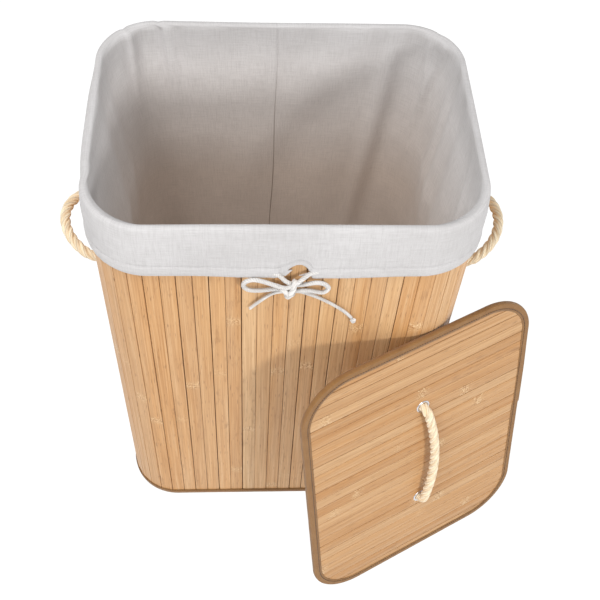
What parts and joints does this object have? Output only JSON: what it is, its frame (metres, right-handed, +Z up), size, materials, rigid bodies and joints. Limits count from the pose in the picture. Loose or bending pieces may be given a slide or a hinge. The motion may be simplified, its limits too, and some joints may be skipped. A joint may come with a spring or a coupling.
{
  "type": "laundry hamper with lid",
  "caption": "Rounded oblong basket of upright bamboo slats on cloth, with a removable drawstring liner, rope handles at the sides and a separate slatted lid leaning against it.",
  "frame": {"origin": "centre of the underside of the hamper's base, on the floor", "axes": "+Z up; -Y towards the front, where the liner's bow is tied; +X to the right seen from the front"},
  "size_m": [0.5813, 0.4536, 0.59],
  "materials": {
    "bamboo": "satin",
    "binding": "matte",
    "board": "matte",
    "backing": "matte",
    "liner": "matte",
    "drawstring": "matte",
    "rope": "matte",
    "eyelet": "polished",
    "rod": "satin"
  },
  "bodies": {
    "hamper": {"front_slats": "bamboo", "right_slats": "bamboo", "back_slats": "bamboo", "left_slats": "bamboo", "front_right_corner_slats": "bamboo", "back_right_corner_slats": "bamboo", "back_left_corner_slats": "bamboo", "front_left_corner_slats": "bamboo", "wall_backing": "backing", "wall_join_strip": "backing", "top_binding": "binding", "bottom_binding": "binding", "base_board": "board", "base_top_cover": "backing", "base_bottom_cover": "backing", "base_edge_binding": "binding", "base_hinge_strip": "backing", "support_rods": "rod", "rod_sleeves": "backing", "left_eyelets": "eyelet", "right_eyelets": "eyelet", "left_washers": "eyelet", "right_washers": "eyelet", "left_rope_knots": "rope", "right_rope_knots": "rope"},
    "left_handle": {"left_rope": "rope"},
    "right_handle": {"right_rope": "rope"},
    "liner": {"liner_walls": "liner", "liner_floor": "liner", "liner_cuff": "liner", "hem_casing": "liner", "liner_seam": "liner", "drawstring": "drawstring", "tie_left": "drawstring", "tie_right": "drawstring", "bow_knot": "drawstring", "tail_knot": "drawstring"},
    "lid": {"lid_slats": "bamboo", "lid_board": "board", "lid_underside": "backing", "lid_binding": "binding", "lid_eyelets": "eyelet", "lid_washers": "eyelet", "lid_rope_knots": "rope"},
    "lid_handle": {"lid_rope": "rope"}
  },
  "joints": [
    {"name": "liner_lift", "type": "slide", "parent": "hamper", "child": "liner", "axis": [0, 0, 1], "range_m": [0, 0.6]},
    {"name": "left_handle_swing", "type": "hinge", "parent": "hamper", "child": "left_handle", "pos_m": [-0.2095, -0.0042, 0.422], "axis": [0, 1, 0], "range_deg": [-109, 61]},
    {"name": "right_handle_swing", "type": "hinge", "parent": "hamper", "child": "right_handle", "pos_m": [0.2095, -0.0042, 0.422], "axis": [0, -1, 0], "range_deg": [-105, 65]},
    {"name": "lid_lift", "type": "slide", "parent": "hamper", "child": "lid", "axis": [0.2761, -0.5327, 0.8], "range_m": [0, 0.6]},
    {"name": "lid_handle_flop", "type": "hinge", "parent": "lid", "child": "lid_handle", "pos_m": [0.18227, -0.20165, 0.2058], "axis": [-0.098, 0.1891, 0.977], "range_deg": [-153, 17]}
  ]
}
